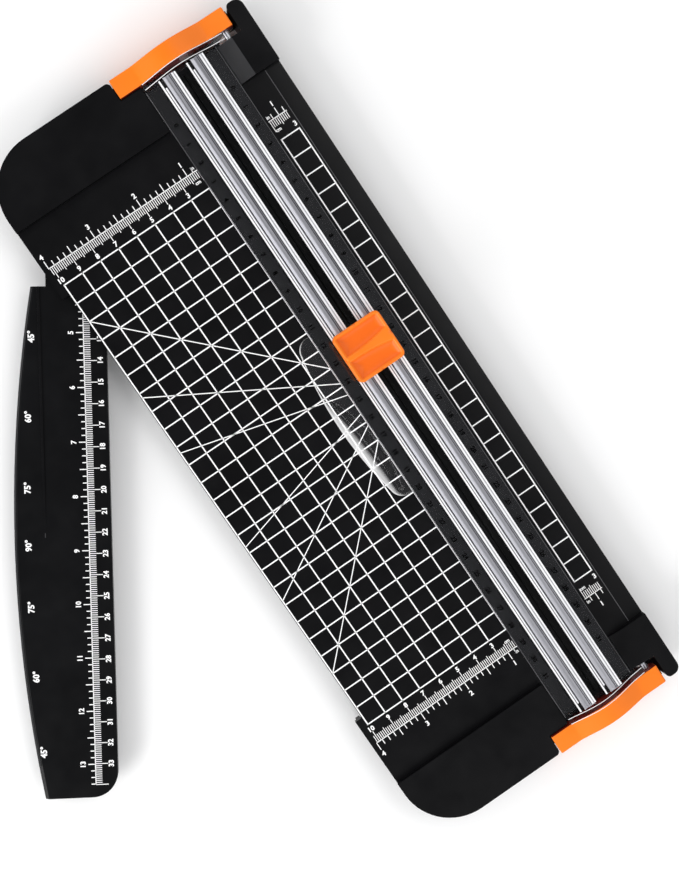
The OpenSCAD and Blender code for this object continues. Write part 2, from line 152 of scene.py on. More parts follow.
def add_bump(tree, shader, pattern, strength, distance):
    bump = tree.nodes.new("ShaderNodeBump")
    bump.inputs["Strength"].default_value = strength
    bump.inputs["Distance"].default_value = distance
    tree.links.new(pattern, bump.inputs["Height"])
    tree.links.new(bump.outputs["Normal"], shader.inputs["Normal"])


def moulded_plastic(name, dark, light, roughness, grain=0.25, specular=0.5):
    """Satin moulded plastic: faint cloudy colour, uneven gloss and a fine spark-eroded grain."""
    mat, tree, shader = new_material(name, light, roughness, specular=specular)
    vary_colour(tree, shader, noise(tree, 28), dark, light)
    vary_roughness(tree, shader, noise(tree, 90), roughness - 0.05, roughness + 0.06)
    add_bump(tree, shader, noise(tree, 2600, detail=2), grain, 0.00006)
    return mat


def clear_plastic(name, tint, roughness, painted_highlight=0):
    """Clear thin-walled plastic: light passes almost straight through it, under a glossy surface.

    painted_highlight is how much white is painted, as a highlight, on the slopes that face away from the rail
    and, at half strength, on the edges at its ends.
    """
    mat, tree, shader = new_material(name, tint, 0.02, specular=0)
    shader.inputs["IOR"].default_value = 1.02
    shader.inputs["Coat IOR"].default_value = 1.55
    gloss = spread(tree, noise(tree, 140), 0, 1, roughness, roughness + 0.04)
    tree.links.new(gloss, shader.inputs["Coat Roughness"])
    coords = tree.nodes.new("ShaderNodeTexCoord")
    normal = tree.nodes.new("ShaderNodeSeparateXYZ")
    tree.links.new(coords.outputs["Normal"], normal.inputs["Vector"])
    level = calculated(tree, "ABSOLUTE", normal.outputs["Z"])
    tree.links.new(spread(tree, level, 0.93, 0.995, 0.03, 1), shader.inputs["Coat Weight"])
    if painted_highlight:
        # Painted highlight: white mixed in by surface direction, for the reflection of a bright light
        slope = spread(tree, normal.outputs["X"], -0.1, -0.6, 0, painted_highlight)
        end_on = calculated(tree, "ABSOLUTE", normal.outputs["Y"])
        end = spread(tree, end_on, 0.5, 1, 0, 0.5 * painted_highlight)
        white = calculated(tree, "MAXIMUM", slope, end)
        tree.links.new(spread(tree, white, 0, 1, 1, 0), shader.inputs["Transmission Weight"])
    else:
        shader.inputs["Transmission Weight"].default_value = 1
    lamps = tree.nodes.new("ShaderNodeBsdfTransparent")
    lamps.inputs["Color"].default_value = (0.92, 0.92, 0.93, 1)
    path = tree.nodes.new("ShaderNodeLightPath")
    mix = tree.nodes.new("ShaderNodeMixShader")
    tree.links.new(path.outputs["Is Shadow Ray"], mix.inputs["Fac"])
    tree.links.new(shader.outputs["BSDF"], mix.inputs[1])
    tree.links.new(lamps.outputs["BSDF"], mix.inputs[2])
    tree.links.new(mix.outputs["Shader"], tree.nodes["Material Output"].inputs["Surface"])
    return mat


def drawn_metal(name, colour, roughness, stretch, lines=900):
    """Metal with fine lines; stretch is small along the lines."""
    mat, tree, shader = new_material(name, colour, roughness, metallic=1.0)
    pattern = noise(tree, lines, stretch)
    dark = tuple(0.82 * c for c in colour)
    vary_colour(tree, shader, pattern, dark, colour)
    vary_roughness(tree, shader, pattern, roughness - 0.06, roughness + 0.08)
    add_bump(tree, shader, pattern, 0.12, 0.00005)
    return mat


def printed_ink(name, thin, full):
    """Screen-printed ink, slightly uneven in cover."""
    mat, tree, shader = new_material(name, full, 0.55, specular=0.3)
    vary_colour(tree, shader, noise(tree, 700), thin, full, 0.25, 0.5)
    vary_roughness(tree, shader, noise(tree, 300), 0.5, 0.62)
    return mat


BOARD_BLACK = moulded_plastic(
    "board_black", (0.0026, 0.0026, 0.0030), (0.0040, 0.0040, 0.0046), 0.34, 0.15, 0.15
)
ARM_BLACK = moulded_plastic(
    "arm_black", (0.0028, 0.0029, 0.0033), (0.0043, 0.0044, 0.0050), 0.33, 0.12, 0.15
)
MAT_BLACK = moulded_plastic(
    "mat_black", (0.0030, 0.0030, 0.0032), (0.0050, 0.0050, 0.0054), 0.6, 0.4, 0.15
)
FOOT_RUBBER = moulded_plastic("foot_rubber", (0.016, 0.016, 0.016), (0.028, 0.028, 0.029), 0.8, 0.6, 0.3)
ORANGE = moulded_plastic("orange_satin", (0.88, 0.19, 0.008), (0.96, 0.215, 0.012), 0.36, 0.12, 0.3)
YOKE_GREY = moulded_plastic("yoke_grey", (0.03, 0.03, 0.033), (0.05, 0.05, 0.054), 0.45)
CLEAR = clear_plastic("clear_moulded", (0.95, 0.96, 0.98), 0.03)
# The guard carries a painted highlight on its outer slopes and ends
CLEAR_GUARD = clear_plastic("clear_guard_painted_highlight", (0.98, 0.98, 0.98), 0.03, 0.6)
# Painted highlight: near-white, for the light that polished clear edges catch
CLEAR_EDGE_HIGHLIGHT = moulded_plastic("painted_clear_edge_highlight", (0.86, 0.86, 0.88), (0.97, 0.97, 0.98), 0.2, 0.05)
# Painted shade: dark lines for the shade in the strips' gap and grooves
STRIP_SHADE_LINE = moulded_plastic("painted_strip_shade", (0.012, 0.012, 0.013), (0.03, 0.03, 0.032), 0.5, 0.05, 0.2)
# Painted sheen: a lighter black where light catches slopes, rims and ridges
SHEEN_BLACK = moulded_plastic("painted_sheen_black", (0.030, 0.030, 0.032), (0.038, 0.038, 0.040), 0.45, 0.3, 0.2)
# Painted highlight: grey, for faint lines of light on edges and creases
EDGE_HIGHLIGHT_GREY = moulded_plastic("painted_edge_highlight_grey", (0.07, 0.07, 0.075), (0.11, 0.11, 0.115), 0.3, 0.05)
# Painted shade: dark red for the caps' inner faces
ORANGE_SHADE = moulded_plastic("orange_painted_shade", (0.10, 0.006, 0.003), (0.17, 0.011, 0.005), 0.5, 0.12, 0.2)
# Painted shade: a darker orange for the thumb pad's hollows
ORANGE_HOLLOW_SHADE = moulded_plastic(
    "orange_painted_hollow_shade", (0.84, 0.135, 0.006), (0.91, 0.16, 0.008), 0.4, 0.12, 0.25
)
STRIP_METAL = drawn_metal("strip_metal", (0.60, 0.60, 0.645), 0.36, (1, 0.004, 1), 1500)
PIN_STEEL = drawn_metal("pin_steel", (0.62, 0.62, 0.64), 0.3, (1, 0.05, 1))
SCREW_ZINC = drawn_metal("screw_zinc", (0.66, 0.66, 0.67), 0.36, (1, 1, 0.1), 600)
SPRING_STEEL = drawn_metal("spring_steel", (0.58, 0.58, 0.6), 0.28, (1, 1, 0.2), 1200)
BLADE_STEEL = drawn_metal("blade_steel", (0.72, 0.73, 0.75), 0.2, (1, 0.15, 0.15), 1400)
WHITE_INK = printed_ink("white_ink", (0.88, 0.88, 0.88), (0.98, 0.98, 0.98))
RELIEF_DARK = moulded_plastic(
    "relief_dark", (0.0008, 0.0008, 0.0009), (0.0018, 0.0018, 0.0020), 0.6, 0.05, 0.03
)


# ---------------------------------------------------------------- making pieces


def finish_piece(name, mesh, body, material, replaces=()):
    piece = bpy.data.objects.new(name, mesh)
    bpy.context.scene.collection.objects.link(piece)
    mesh.materials.clear()
    mesh.materials.append(material)
    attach(piece, body)
    if replaces:
        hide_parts(*replaces)
    return piece


def recolour(piece, material, chosen):
    """Gives another material to the faces that chosen() picks.

    It picks by their centre, in millimetres of the row frame, and their normal.
    """
    piece.data.materials.append(material)
    for face in piece.data.polygons:
        if chosen(face.center / MM, face.normal):
            face.material_index = len(piece.data.materials) - 1


def smooth_mesh(mesh, angle=32):
    """Shades a mesh smooth, apart from edges sharper than angle."""
    for face in mesh.polygons:
        face.use_smooth = True
    mesh.set_sharp_from_angle(angle=math.radians(angle))


def mesh_from(name, build):
    """A mesh from a bmesh in design millimetres, with its faces turned outwards."""
    bmesh.ops.recalc_face_normals(build, faces=build.faces)
    for vert in build.verts:
        vert.co = place(*vert.co)
    mesh = bpy.data.meshes.new(name)
    build.to_mesh(mesh)
    build.free()
    return mesh


def with_modifiers(mesh, name, *modifiers):
    """The mesh after these modifiers, each given as (type, settings)."""
    holder = bpy.data.objects.new(name, mesh)
    bpy.context.scene.collection.objects.link(holder)
    for kind, settings in modifiers:
        modifier = holder.modifiers.new(kind.lower(), kind)
        for setting, value in settings.items():
            setattr(modifier, setting, value)
    graph = bpy.context.evaluated_depsgraph_get()
    made = bpy.data.meshes.new_from_object(holder.evaluated_get(graph))
    bpy.data.objects.remove(holder)
    made.name = name
    return made


def softened(mesh, name, width, segments=2, angle=30):
    """The mesh with its sharp edges rounded, and its flat faces left flat."""
    bevel = {
        "width": width * MM,
        "segments": segments,
        "limit_method": "ANGLE",
        "angle_limit": math.radians(angle),
        "use_clamp_overlap": True,
        "miter_outer": "MITER_ARC",
    }
    mesh = with_modifiers(mesh, name, ("BEVEL", bevel))
    smooth_mesh(mesh)
    weighting = {"mode": "FACE_AREA", "weight": 60, "keep_sharp": True}
    return with_modifiers(mesh, name, ("WEIGHTED_NORMAL", weighting))


def clean_copy(node):
    """A CAD node's mesh with its split vertices joined and its flat faces made whole."""
    build = bmesh.new()
    build.from_mesh(NODES[node].data)
    bmesh.ops.remove_doubles(build, verts=build.verts, dist=0.002 * MM)
    bmesh.ops.dissolve_degenerate(build, edges=build.edges, dist=0.002 * MM)
    bmesh.ops.dissolve_limit(build, angle_limit=math.radians(0.6), verts=build.verts, edges=build.edges)
    for face in build.faces:
        face.smooth = True
    mesh = bpy.data.meshes.new(node)
    build.to_mesh(mesh)
    build.free()
    return mesh


def rounded_part(node, body, material, width, segments=2):
    """A detailed piece in place of a CAD node: the same shape with moulded, rounded edges."""
    mesh = softened(clean_copy(node), node + "_moulded", width, segments)
    return finish_piece(node + "_moulded", mesh, body, material, [node])


def paint(node, material):
    """Gives a carried-over CAD node its material."""
    slots = NODES[node].material_slots
    for slot in slots:
        slot.link = "OBJECT"
        slot.material = material


# ---------------------------------------------------------------- print


class Print:
    """Thin raised ink: lines and numbers on one flat surface, all in one mesh. It also draws the painted
    highlight and painted shade lines.

    origin, along and up are the surface's own directions in design millimetres.
    """

    depth = 0.02
    height = 0.035
    glyphs = {}

    def __init__(self, origin, along=(1, 0), up=(0, 1)):
        self.origin = Vector(origin)
        self.along = Vector((*along, 0))
        self.up = Vector((*up, 0))
        self.build = bmesh.new()

    def at(self, a, b, h):
        return self.origin + self.along * a + self.up * b + Vector((0, 0, h))

    def line(self, a0, b0, a1, b1, width):
        """A straight line with square ends, from one point to another."""
        start = Vector((a0, b0))
        end = Vector((a1, b1))
        side = (end - start).normalized().orthogonal() * width / 2
        corners = [start + side, end + side, end - side, start - side]
        rings = []
        for h in (-self.depth, self.height):
            rings.append([self.build.verts.new(self.at(c.x, c.y, h)) for c in corners])
        self.build.faces.new(rings[0])
        self.build.faces.new(rings[1])
        for i in range(4):
            j = (i + 1) % 4
            self.build.faces.new([rings[0][i], rings[0][j], rings[1][j], rings[1][i]])

    def line_at(self, x, y0, y1, width, z):
        """A line along Y at its own height."""
        self.origin.z = z
        self.line(x, y0, x, y1, width)

    def ribbon(self, start, end, width):
        """A flat strip, width wide along Y, from one point to another."""
        corners = []
        for x, y, z in (start, end):
            for across in (-width / 2, width / 2):
                for h in (-self.depth, self.height):
                    corners.append(self.build.verts.new((x, y + across, z + h)))
        for quad in ((0, 2, 6, 4), (1, 3, 7, 5), (0, 1, 5, 4), (2, 3, 7, 6), (0, 1, 3, 2), (4, 5, 7, 6)):
            self.build.faces.new([corners[i] for i in quad])

    def label(self, text, a, b, size, turn=0):
        """Text centred on a point, size high in its capitals, turned by so many degrees."""
        verts, faces = self.glyph(text)
        c = math.cos(math.radians(turn))
        s = math.sin(math.radians(turn))
        made = []
        for x, y, z in verts:
            h = self.height if z > 0 else -self.depth
            across = a + (x * c - y * s) * size
            upward = b + (x * s + y * c) * size
            made.append(self.build.verts.new(self.at(across, upward, h)))
        for face in faces:
            self.build.faces.new([made[i] for i in face])

    @classmethod
    def glyph(cls, text):
        """The outline of a text in the built-in font, about its centre and one unit high."""
        if text not in cls.glyphs:
            curve = bpy.data.curves.new("label", "FONT")
            curve.body = text
            curve.align_x = "CENTER"
            curve.extrude = 0.1
            curve.offset = 0.034
            curve.resolution_u = 2
            holder = bpy.data.objects.new("label", curve)
            bpy.context.scene.collection.objects.link(holder)
            graph = bpy.context.evaluated_depsgraph_get()
            mesh = bpy.data.meshes.new_from_object(holder.evaluated_get(graph))
            cap_height = 0.73
            verts = [(v.co.x / cap_height, v.co.y / cap_height - 0.5, v.co.z) for v in mesh.vertices]
            faces = [tuple(face.vertices) for face in mesh.polygons]
            cls.glyphs[text] = (verts, faces)
            bpy.data.objects.remove(holder)
            bpy.data.meshes.remove(mesh)
        return cls.glyphs[text]

    def piece(self, name, body, material):
        mesh = mesh_from(name, self.build)
        return finish_piece(name, mesh, body, material)


INCH = 25.4
GRID_LINE = 0.62
TICK_LINE = 0.34
INCH_TICK_LINE = 0.4
RULER_LINE = 0.45
NUMBER = 2.45
SMALL_TEXT = 1.7
GRID_LENGTH = 250
GRID_NEAR = 20
GRID_FAR = 100
RULER_GAP = 9.9
PRINT_ORIGIN = (1.1, 125.5, DECK_Z)


def cross_ruler(ink, x0, x1, base, out, cm_labels, inch_labels):
    """A ruler across the board.

    Millimetres are on the grid's side of base, and inches are on the other side.
    """
    ink.line(x0, base, x1, base, RULER_LINE)
    side = math.copysign(1, x0 + x1)
    near = min(abs(x0), abs(x1))
    far = max(abs(x0), abs(x1))
    for mm in range(math.ceil(near), math.floor(far) + 1):
        length = 5.7 if mm % 10 == 0 else 4.5 if mm % 5 == 0 else 3.6
        ink.line(side * mm, base, side * mm, base - out * length, TICK_LINE)
    for eighth in range(math.ceil(near / INCH * 8), math.floor(far / INCH * 8 + 0.01) + 1):
        x = side * eighth * INCH / 8
        length = 4.0 if eighth % 4 == 0 else 2.6
        ink.line(x, base, x, base + out * length, INCH_TICK_LINE)
    for cm in cm_labels:
        ink.label(str(cm), side * 10 * cm, base - out * 7.3, NUMBER)
    for inch in inch_labels:
        ink.label(str(inch), side * INCH * inch, base + out * 6.1, NUMBER)


def board_print():
    ink = Print(PRINT_ORIGIN)
    for x in range(GRID_NEAR, GRID_FAR + 1, 10):
        ink.line(-x, GRID_LINE / 2, -x, -GRID_LENGTH - GRID_LINE / 2, GRID_LINE)
    for y in range(0, GRID_LENGTH + 1, 10):
        ink.line(-GRID_FAR, -y, -GRID_NEAR, -y, GRID_LINE)
        ink.line(GRID_NEAR, -y, GRID_NEAR + 10, -y, GRID_LINE)
    for x in (GRID_NEAR, GRID_NEAR + 10):
        ink.line(x, GRID_LINE / 2, x, -GRID_LENGTH - GRID_LINE / 2, GRID_LINE)
    # Angle lines, from a point on the cut line out to the grid's left edge
    fan_y = -120
    for angle in (-45, -30, -15, 15, 30, 45):
        slope = math.tan(math.radians(angle))
        ink.line(-GRID_NEAR, fan_y + GRID_NEAR * slope, -GRID_FAR, fan_y + GRID_FAR * slope, RULER_LINE)
    # Rulers across both ends
    for base, out in ((RULER_GAP, 1), (-GRID_LENGTH - RULER_GAP, -1)):
        cross_ruler(ink, -4 * INCH, -GRID_NEAR, base, out, range(3, 11), range(1, 5))
        cross_ruler(ink, 19.5, 29.6, base, out, (), ())
        ink.label("in", -21.6, base + out * 1.9, SMALL_TEXT)
        ink.label("cm", -22.9, base - out * 4.9, SMALL_TEXT)
        ink.label("in", 20.4, base + out * 1.9, SMALL_TEXT)
        ink.label("cm", 21.6, base - out * 5.2, SMALL_TEXT)
        ink.label("1", INCH, base + out * 6.3, NUMBER)
        ink.label("3", 29.6, base - out * 6.9, NUMBER)
    return ink.piece("board_print", "base", WHITE_INK)


def arm_ink():
    """Ink on the ruler arm, counted from its pivot: away from its tip, and towards its curved edge."""
    swing = [joint for joint in frame["joints"] if joint["name"] == "arm_swing"][0]
    pivot = swing["pos_m"]
    turn = math.radians(ARM_ANGLE)
    origin = ((pivot[0] - CUT_X) / MM, pivot[1] / MM, ARM_TOP)
    return Print(origin, (math.cos(turn), math.sin(turn)), (-math.sin(turn), math.cos(turn)))


def arm_print():
    """The arm's scale, which counts on from the board's far ruler, and the angle marks on its curved side."""
    ink = arm_ink()
    base = -4.63
    zero = -85.5
    first_mm = 100
    last_mm = 340
    ink.line(-(first_mm + zero), base, -(last_mm + zero), base, RULER_LINE)
    for mm in range(first_mm, last_mm + 1):
        length = 5.9 if mm % 10 == 0 else 3.0
        ink.line(-(mm + zero), base, -(mm + zero), base - length, 0.36)
    for eighth in range(math.ceil(first_mm / INCH * 8), math.floor(last_mm / INCH * 8) + 1):
        u = eighth * INCH / 8 + zero
        length = 3.4 if eighth % 4 == 0 else 2.1
        ink.line(-u, base, -u, base + length, RULER_LINE)
    for cm in range(10, 34):
        ink.label(str(cm), -(10 * cm + zero), -11.9, NUMBER)
    for inch in range(4, 14):
        ink.label(str(inch), -(INCH * inch + zero), base + 5.9, NUMBER)
    marks = {43: 45, 80: 60, 113: 75, 140: 90, 169: 75, 202: 60, 238: 45}
    for u, angle in marks.items():
        bow = 23.4 - 4.1 * ((u - 140) / 98) ** 2
        ink.label(f"{angle}°", -u, bow, 2.9)
    return ink.piece("arm_print", "ruler", WHITE_INK)


def arm_edges():
    """Painted highlights on the arm: a lighter rim along its curved edge and a line of light along its ridge,
    drawn with the print's helpers.
    """
    ink = arm_ink()
    middle = 140.4
    radius = 676
    belly = 29.85
    rim_inset = 0.7
    rim_width = 0.9
    points = []
    for u in range(21, 246, 7):
        bow = belly - radius + math.sqrt(radius**2 - (u - middle) ** 2)
        points.append((-u, bow - rim_inset))
    for start, end in zip(points, points[1:]):
        ink.line(*start, *end, rim_width)
    ridge_v = 15.45
    ink.line(-20.6, ridge_v, -136.5, ridge_v, RULER_LINE)
    return ink.piece("arm_painted_highlights", "ruler", SHEEN_BLACK)


def rail_numbers():
    """Centimetre numbers moulded along both flanges."""
    ink = Print((0, 0, FLANGE_TOP))
    first_y = 156.5
    number_x = 15.6
    for n in range(32):
        for x in (-number_x, number_x):
            ink.label(str(n), x, first_y - 10 * n, 2.2, -90)
    return ink.piece("rail_numbers", "rail", RELIEF_DARK)


# ---------------------------------------------------------------- the clear rail's fittings


BEAD_SETBACK = 4.5
LINE_INSET = 0.3
RIB_EDGES = ((2.97, 3.8), (11.2, 12.03))
# Where the painted shade lines run, counted from each strip's left edge
BAND_SHADE_LINES = (0.05, 1.45, 4.95, 5.7)

def glide_strip(name, replaced):
    """A bright strip: a round bead and a narrow gap at its left, then a wide band. Its dark lines, in the gap
    and as the band's fine grooves, are painted shade drawn by clear_edges().
    """
    low, high = design_box(replaced)
    top = high.z
    bottom = low.z
    left = low.x
    right = high.x
    bead = [(left, bottom)]
    for i in range(9):
        turn = math.pi * (1 - i / 8)
        bead.append((left + 0.65 + 0.65 * math.cos(turn), top - 0.5 + 0.5 * math.sin(turn)))
    bead.append((left + 1.3, bottom))
    band = [(left + 1.6, bottom), (left + 1.6, top - 0.12), (left + 1.75, top - 0.04)]
    # A shallow hollow along the middle of the band gives it its graded sheen
    for i in range(1, 14):
        t = i / 14
        band.append((left + 1.8 + t * 3.0, top - 0.04 - 0.3 * math.sin(math.pi * t)))
    band += [(right - 0.15, top - 0.04), (right, top - 0.16), (right, bottom)]
    build = bmesh.new()
    for outline, end in ((bead, RAIL_END - BEAD_SETBACK), (band, RAIL_END)):
        rings = []
        for y in (-end, end):
            rings.append([build.verts.new((x, y, z)) for x, z in outline])
        build.faces.new(rings[0])
        build.faces.new(rings[1])
        for i in range(len(outline)):
            j = (i + 1) % len(outline)
            build.faces.new([rings[0][i], rings[0][j], rings[1][j], rings[1][i]])
    mesh = mesh_from(name, build)
    smooth_mesh(mesh, 24)
    return finish_piece(name, mesh, "rail", STRIP_METAL, [replaced])


def plugged(node, axes, radius):
    """A clean copy of a CAD end piece without its pegs or peg holes, which clear plastic would show."""
    build = bmesh.new()
    mesh = clean_copy(node)
    build.from_mesh(mesh)
    spots = [place(x, 0, z) for x, z in axes]

    def by_axis(vert):
        return any(math.hypot(vert.co.x - c.x, vert.co.z - c.z) < radius * MM for c in spots)

    peg_sides = [face for face in build.faces if all(by_axis(vert) for vert in face.verts)]
    bmesh.ops.delete(build, geom=peg_sides, context="FACES")
    bmesh.ops.holes_fill(build, edges=[edge for edge in build.edges if edge.is_boundary], sides=0)
    bmesh.ops.recalc_face_normals(build, faces=build.faces)
    return mesh, build


def end_pieces(end, side):
    """The clear end wall and the orange cap behind it, with a fine air gap between them."""
    joint_y = RAIL_END + 3.6
    pegs = [(-15.5, 18.5), (15.5, 18.5)]
    for node, shift, material, slot, width, segments in (
        (f"{end}_end_wall", -0.1, CLEAR, "clear_plastic", 0.35, 2),
        (f"{end}_end_cap", 0.12, ORANGE, "orange_plastic", 0.5, 3),
    ):
        mesh, build = plugged(node, pegs, 1.45)
        for vert in build.verts:
            if abs(abs(vert.co.y) / MM - joint_y) < 0.1:
                vert.co.y += side * shift * MM
        build.to_mesh(mesh)
        build.free()
        name = node + "_moulded"
        piece = finish_piece(name, softened(mesh, name, width, segments), "rail", material, [node])
        # Painted shade: the cap's inner face at the joint gets a dark red
        if material == ORANGE:
            recolour(piece, ORANGE_SHADE, lambda c, n: abs(n.y) > 0.9 and abs(abs(c.y) - joint_y) < 0.5)


def finger_guard():
    """A clear flat shield beside the left flange, with a swelling along its outer edge."""
    low, high = design_box("finger_guard")
    half = high.y
    arc_r = 190
    end_r = 6.5
    arc_x = low.x + arc_r
    end_y = half - end_r
    end_x = arc_x - math.sqrt((arc_r - end_r) ** 2 - end_y**2)
    touch = end_y * arc_r / (arc_r - end_r)
    sheet = 1.6
    lip = 0.7
    swell_y = -14
    swell_half = 34
    full_slope = 0.62

    def outer_x(y):
        if abs(y) <= touch:
            return arc_x - math.sqrt(arc_r**2 - y**2)
        return end_x - math.sqrt(max(end_r**2 - (abs(y) - end_y) ** 2, 0))

    def depth(x, y):
        """Distance in from the guard's outline."""
        from_arc = arc_r - math.hypot(x - arc_x, y)
        beyond = abs(y) - end_y
        if beyond > 0:
            return min(from_arc, end_r - math.hypot(x - end_x, beyond) if x < end_x else end_r - beyond)
        return from_arc

    def rise(x, y):
        d = max(depth(x, y), 0)
        edge = sheet - lip + math.sqrt(lip**2 - max(lip - d, 0) ** 2)
        size = max(1 - ((y - swell_y) / swell_half) ** 2, 0)
        if size == 0:
            return edge
        # Up a straight slope, over a rounded crest and gently down to the flat sheet
        slope = full_slope * math.sqrt(size)
        ramp = 2.0 * size
        crest = 3.4 * size
        top = slope * (ramp + crest / 2)
        past = d - ramp
        if past <= 0:
            swell = slope * d
        elif past <= crest:
            swell = slope * (ramp + past - past**2 / (2 * crest))
        else:
            swell = top * (0.5 + 0.5 * math.cos(math.pi * min((past - crest) / (6 * size), 1)))
        return edge + swell

    rows = 200
    columns = 60
    reach = half - 0.05
    build = bmesh.new()
    tops = []
    bottoms = []
    for i in range(rows + 1):
        y = reach * math.sin(math.pi * (i / rows - 0.5))
        x0 = outer_x(y)
        x1 = -FLANGE_EDGE
        top = []
        bottom = []
        for j in range(columns + 1):
            x = x0 + (x1 - x0) * (j / columns) ** 1.15
            top.append(build.verts.new((x, y, low.z + rise(x, y))))
            bottom.append(build.verts.new((x, y, low.z)))
        tops.append(top)
        bottoms.append(bottom)
    for i in range(rows):
        for j in range(columns):
            for face in (tops, bottoms):
                build.faces.new([face[i][j], face[i + 1][j], face[i + 1][j + 1], face[i][j + 1]])
        for j in (0, columns):
            build.faces.new([tops[i][j], tops[i + 1][j], bottoms[i + 1][j], bottoms[i][j]])
    for i in (0, rows):
        for j in range(columns):
            build.faces.new([tops[i][j], tops[i][j + 1], bottoms[i][j + 1], bottoms[i][j]])
    mesh = mesh_from("finger_guard_moulded", build)
    smooth_mesh(mesh, 50)
    name = "finger_guard_moulded"
    return finish_piece(name, mesh, "rail", CLEAR_GUARD, ["finger_guard"])


def return_coil(end):
    """A compression spring under the thumb pad. The real one shortens as the pad goes down; this mesh keeps
    one length.
    """
    low, high = design_box(f"{end}_return_spring")
    wire_r = 0.2
    coil_r = (high.x - low.x) / 2 - wire_r
    middle = (low + high) / 2
    length = high.z - low.z
    turns = 8
    steps = 24
    sides = 10
    name = f"{end}_return_coil"
    build = bmesh.new()
    rings = []
    for i in range(turns * steps + 1):
        a = 2 * math.pi * i / steps
        z = low.z + wire_r + (length - 2 * wire_r) * i / (turns * steps)
        ring = []
        for j in range(sides):
            b = 2 * math.pi * j / sides
            r = coil_r + wire_r * math.cos(b)
            ring.append(build.verts.new((
                middle.x + r * math.cos(a),
                middle.y + r * math.sin(a),
                z + wire_r * math.sin(b),
            )))
        rings.append(ring)
    for lower, upper in zip(rings, rings[1:]):
        for j in range(sides):
            k = (j + 1) % sides
            build.faces.new([lower[j], lower[k], upper[k], upper[j]])
    build.faces.new(rings[0])
    build.faces.new(rings[-1])
    mesh = mesh_from(name, build)
    smooth_mesh(mesh, 50)
    coil = finish_piece(name, mesh, "cutter", SPRING_STEEL, [f"{end}_return_spring"])
    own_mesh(coil)


def wall_top(x):
    """Height of the end walls' arched upper edge."""
    foot_x = 19
    foot_z = 21.0
    if x > foot_x:
        return foot_z - 0.26 * (x - foot_x)
    return foot_z + 6 * math.cos(math.radians(90 * x / foot_x)) ** 1.3


def clear_edges():
    """Painted highlights: the bright lines that clear plastic shows along its polished edges, on the end
    walls and on the strips; and painted shade: the strips' dark lines.
    """
    # bright and faint carry painted highlights; dark, below, carries painted shade
    bright = Print((0, 0, 0))
    faint = Print((0, 0, 0))
    end = RAIL_END - LINE_INSET
    for side in (-1, 1):
        # Painted highlights along the ribs' polished top edges
        for inner, outer in RIB_EDGES:
            bright.line_at(side * (inner + outer) / 2, -end, end, outer - inner, RIB_TOP)
        # Painted highlight along the flange's outer edge
        faint.line_at(side * (FLANGE_EDGE - 0.17), -RAIL_END, RAIL_END, 0.3, FLANGE_TOP)
    # Painted highlights along the clear end walls' arched top edges
    for side in (-1, 1):
        for y in (RAIL_END + 0.45, RAIL_END + 3.2):
            xs = [-18.6 + 37.2 * i / 36 for i in range(37)] + [21, 23, 24.6]
            points = [(x, side * y, wall_top(x)) for x in xs]
            for start, stop in zip(points, points[1:]):
                bright.ribbon(start, stop, 0.28)
    dark = Print((0, 0, 0))
    top = design_box("left_glide_strip")[1].z
    bead_end = RAIL_END - BEAD_SETBACK
    for left in (-11.15, 3.85):
        # Painted highlights on the strip's bead and band
        bright.line_at(left + 0.62, -bead_end, bead_end, 0.55, top)
        bright.line_at(left + 6.5, -end, end, 0.75, top)
        # Painted shade lines in the strip's gap and grooves
        for offset in BAND_SHADE_LINES:
            dark.line_at(left + offset, -end, end, 0.26, top)
    bright.piece("painted_edge_highlights", "rail", CLEAR_EDGE_HIGHLIGHT)
    dark.piece("strip_shade_lines", "rail", STRIP_SHADE_LINE)
    faint.piece("flange_edge_highlights", "rail", EDGE_HIGHLIGHT_GREY)


def crease_line():
    """A painted highlight: the faint line of light along the crease where the right edge starts to slope."""
    ink = Print((0, 0, DECK_Z))
    crease_x = 32.5
    crease_end = 155.6
    ink.line(crease_x, -crease_end, crease_x, crease_end, 0.3)
    return ink.piece("crease_line", "base", EDGE_HIGHLIGHT_GREY)


# ---------------------------------------------------------------- thumb pad


PAD_CORNER = 2.5

def on_round_rect(s, t, half_x, half_y, radius):
    """Carries a point of the square from -1 to 1 on to a rectangle with round corners."""
    x = s * half_x
    y = t * half_y
    over_x = abs(x) - (half_x - radius)
    over_y = abs(y) - (half_y - radius)
    if over_x > 0 and over_y > 0:
        pull = max(over_x, over_y) / math.hypot(over_x, over_y)
        x = math.copysign(half_x - radius + over_x * pull, x)
        y = math.copysign(half_y - radius + over_y * pull, y)
    return x, y


def inside_round_rect(x, y, half_x, half_y, radius):
    """How far a point lies inside a rectangle with round corners."""
    over_x = abs(x) - (half_x - radius)
    over_y = abs(y) - (half_y - radius)
    outside = math.hypot(max(over_x, 0), max(over_y, 0))
    return radius - outside - min(max(over_x, over_y), 0)


def pad_height(x, y, half_x, half_y, top):
    """Height of the thumb pad: two crisp thumb hollows with a waisted ridge between them."""
    edge = 0.6
    inside = max(inside_round_rect(x, y, half_x, half_y, PAD_CORNER), 0)
    drop = edge - math.sqrt(edge**2 - max(edge - inside, 0) ** 2) if inside < edge else 0
    ridge = 0.95 + 2.1 * ((x + 7) / 18) ** 2
    within = min(abs(y) - ridge, inside - 1.1)
    if within > 0:
        drop += 2.3 * (1 - math.exp(-within / 1.5))
    for along, across, half in ((y, x, half_x), (x, y, half_y)):
        drop += 1.1 * math.exp(-((along / 0.7) ** 2) - ((half - abs(across)) / 0.8) ** 2)
    return top - drop


